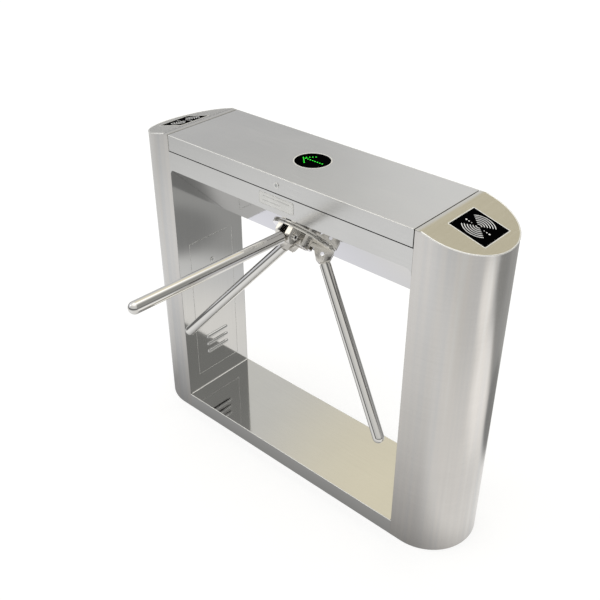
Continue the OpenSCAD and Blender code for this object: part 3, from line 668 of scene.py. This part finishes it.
def floor_material():
    m = bpy.data.materials.new("pale_floor")
    m.use_nodes = True
    m.node_tree.nodes.clear()
    t = Tree(m.node_tree)
    out = t.add("ShaderNodeOutputMaterial")
    sh = t.add("ShaderNodeBsdfPrincipled")
    sh.inputs["Base Color"].default_value = (0.42, 0.42, 0.42, 1)
    sh.inputs["Roughness"].default_value = 0.9
    sh.inputs["Specular IOR Level"].default_value = 0.0
    sh.inputs["Emission Color"].default_value = (1, 1, 1, 1)
    sh.inputs["Emission Strength"].default_value = 0.68
    co = t.add("ShaderNodeTexCoord").outputs["Object"]
    col = (0.70, 0.70, 0.69, 1)
    for x, y, inner, outer, c in PAINTED_REFLECTION_POOLS:
        d = t.vmath("LENGTH", t.vmath("SUBTRACT", co, (x, y, 0.0)))
        col = t.mix(t.span(d, outer, inner, 0.0, 1.0, smooth=True), col, (*c, 1))
    # painted dark floor from about 4 m out, except towards the back left, seen only in reflections
    far = t.span(t.vmath("LENGTH", co), 3.2, 4.4, 0.0, 1.0, smooth=True)
    away = t.span(t.vmath("LENGTH", t.vmath("SUBTRACT", co, (-9.0, 7.4, 0.0))), 7.0, 8.5, 0.0, 1.0, smooth=True)
    col = t.mix(t.math("MULTIPLY", far, away), col, (0.16, 0.16, 0.16, 1))
    sep = t.add("ShaderNodeSeparateXYZ")
    t.put(sep, 0, co)
    # soft shade on the floor in front of the cabinet and to its left
    front = t.math("MAXIMUM", t.math("SUBTRACT", -0.1375, sep.outputs["Y"]), 0.0)
    side = t.math("MAXIMUM", t.math("SUBTRACT", -0.60, sep.outputs["X"]), 0.0)
    away = t.math("SQRT", t.math("ADD", t.math("MULTIPLY", front, front), t.math("MULTIPLY", side, side)))
    shade = t.math("MULTIPLY", t.math("POWER", 2.718, t.math("MULTIPLY", away, -3.3)), 0.62)
    fade = t.span(sep.outputs["X"], 0.48, 0.70, 1.0, 0.0, smooth=True)
    fade = t.math("MULTIPLY", fade, t.span(sep.outputs["Y"], -0.10, 0.15, 1.0, 0.0, smooth=True))
    col = t.mix(1.0, col, t.math("SUBTRACT", 1.0, t.math("MULTIPLY", shade, fade)), "MULTIPLY")
    em = t.add("ShaderNodeEmission")
    t.put(em, "Color", col)
    # glossy rays see the painted floor with its pools and painted shadow; the camera and diffuse rays see the pale,
    # evenly lit one
    ms = t.add("ShaderNodeMixShader")
    t.put(ms, 0, t.add("ShaderNodeLightPath").outputs["Is Glossy Ray"])
    m.node_tree.links.new(sh.outputs[0], ms.inputs[1])
    m.node_tree.links.new(em.outputs[0], ms.inputs[2])
    m.node_tree.links.new(ms.outputs[0], out.inputs["Surface"])
    m.cycles.emission_sampling = "NONE"
    return m


floor_mesh.materials.append(floor_material())

cam = bpy.data.cameras.new("camera")
camera = bpy.data.objects.new("camera", cam)
scene.collection.objects.link(camera)
cam.sensor_width = 36.0
cam.lens = 50.05
cam.clip_start, cam.clip_end = 0.05, 100.0
AZ, EL, ROLL = math.radians(41.94462), math.radians(32.78637), math.radians(-0.0328)
back = Vector((math.sin(AZ) * math.cos(EL), -math.cos(AZ) * math.cos(EL), math.sin(EL)))
right = Vector((math.cos(AZ), math.sin(AZ), 0.0))
up = back.cross(right)
turned_right = right * math.cos(ROLL) + up * math.sin(ROLL)
turned_up = back.cross(turned_right)
camera.matrix_world = Matrix((
    (turned_right.x, turned_up.x, back.x, 1.342207),
    (turned_right.y, turned_up.y, back.y, -1.544069),
    (turned_right.z, turned_up.z, back.z, 1.870617),
    (0, 0, 0, 1),
))
scene.camera = camera
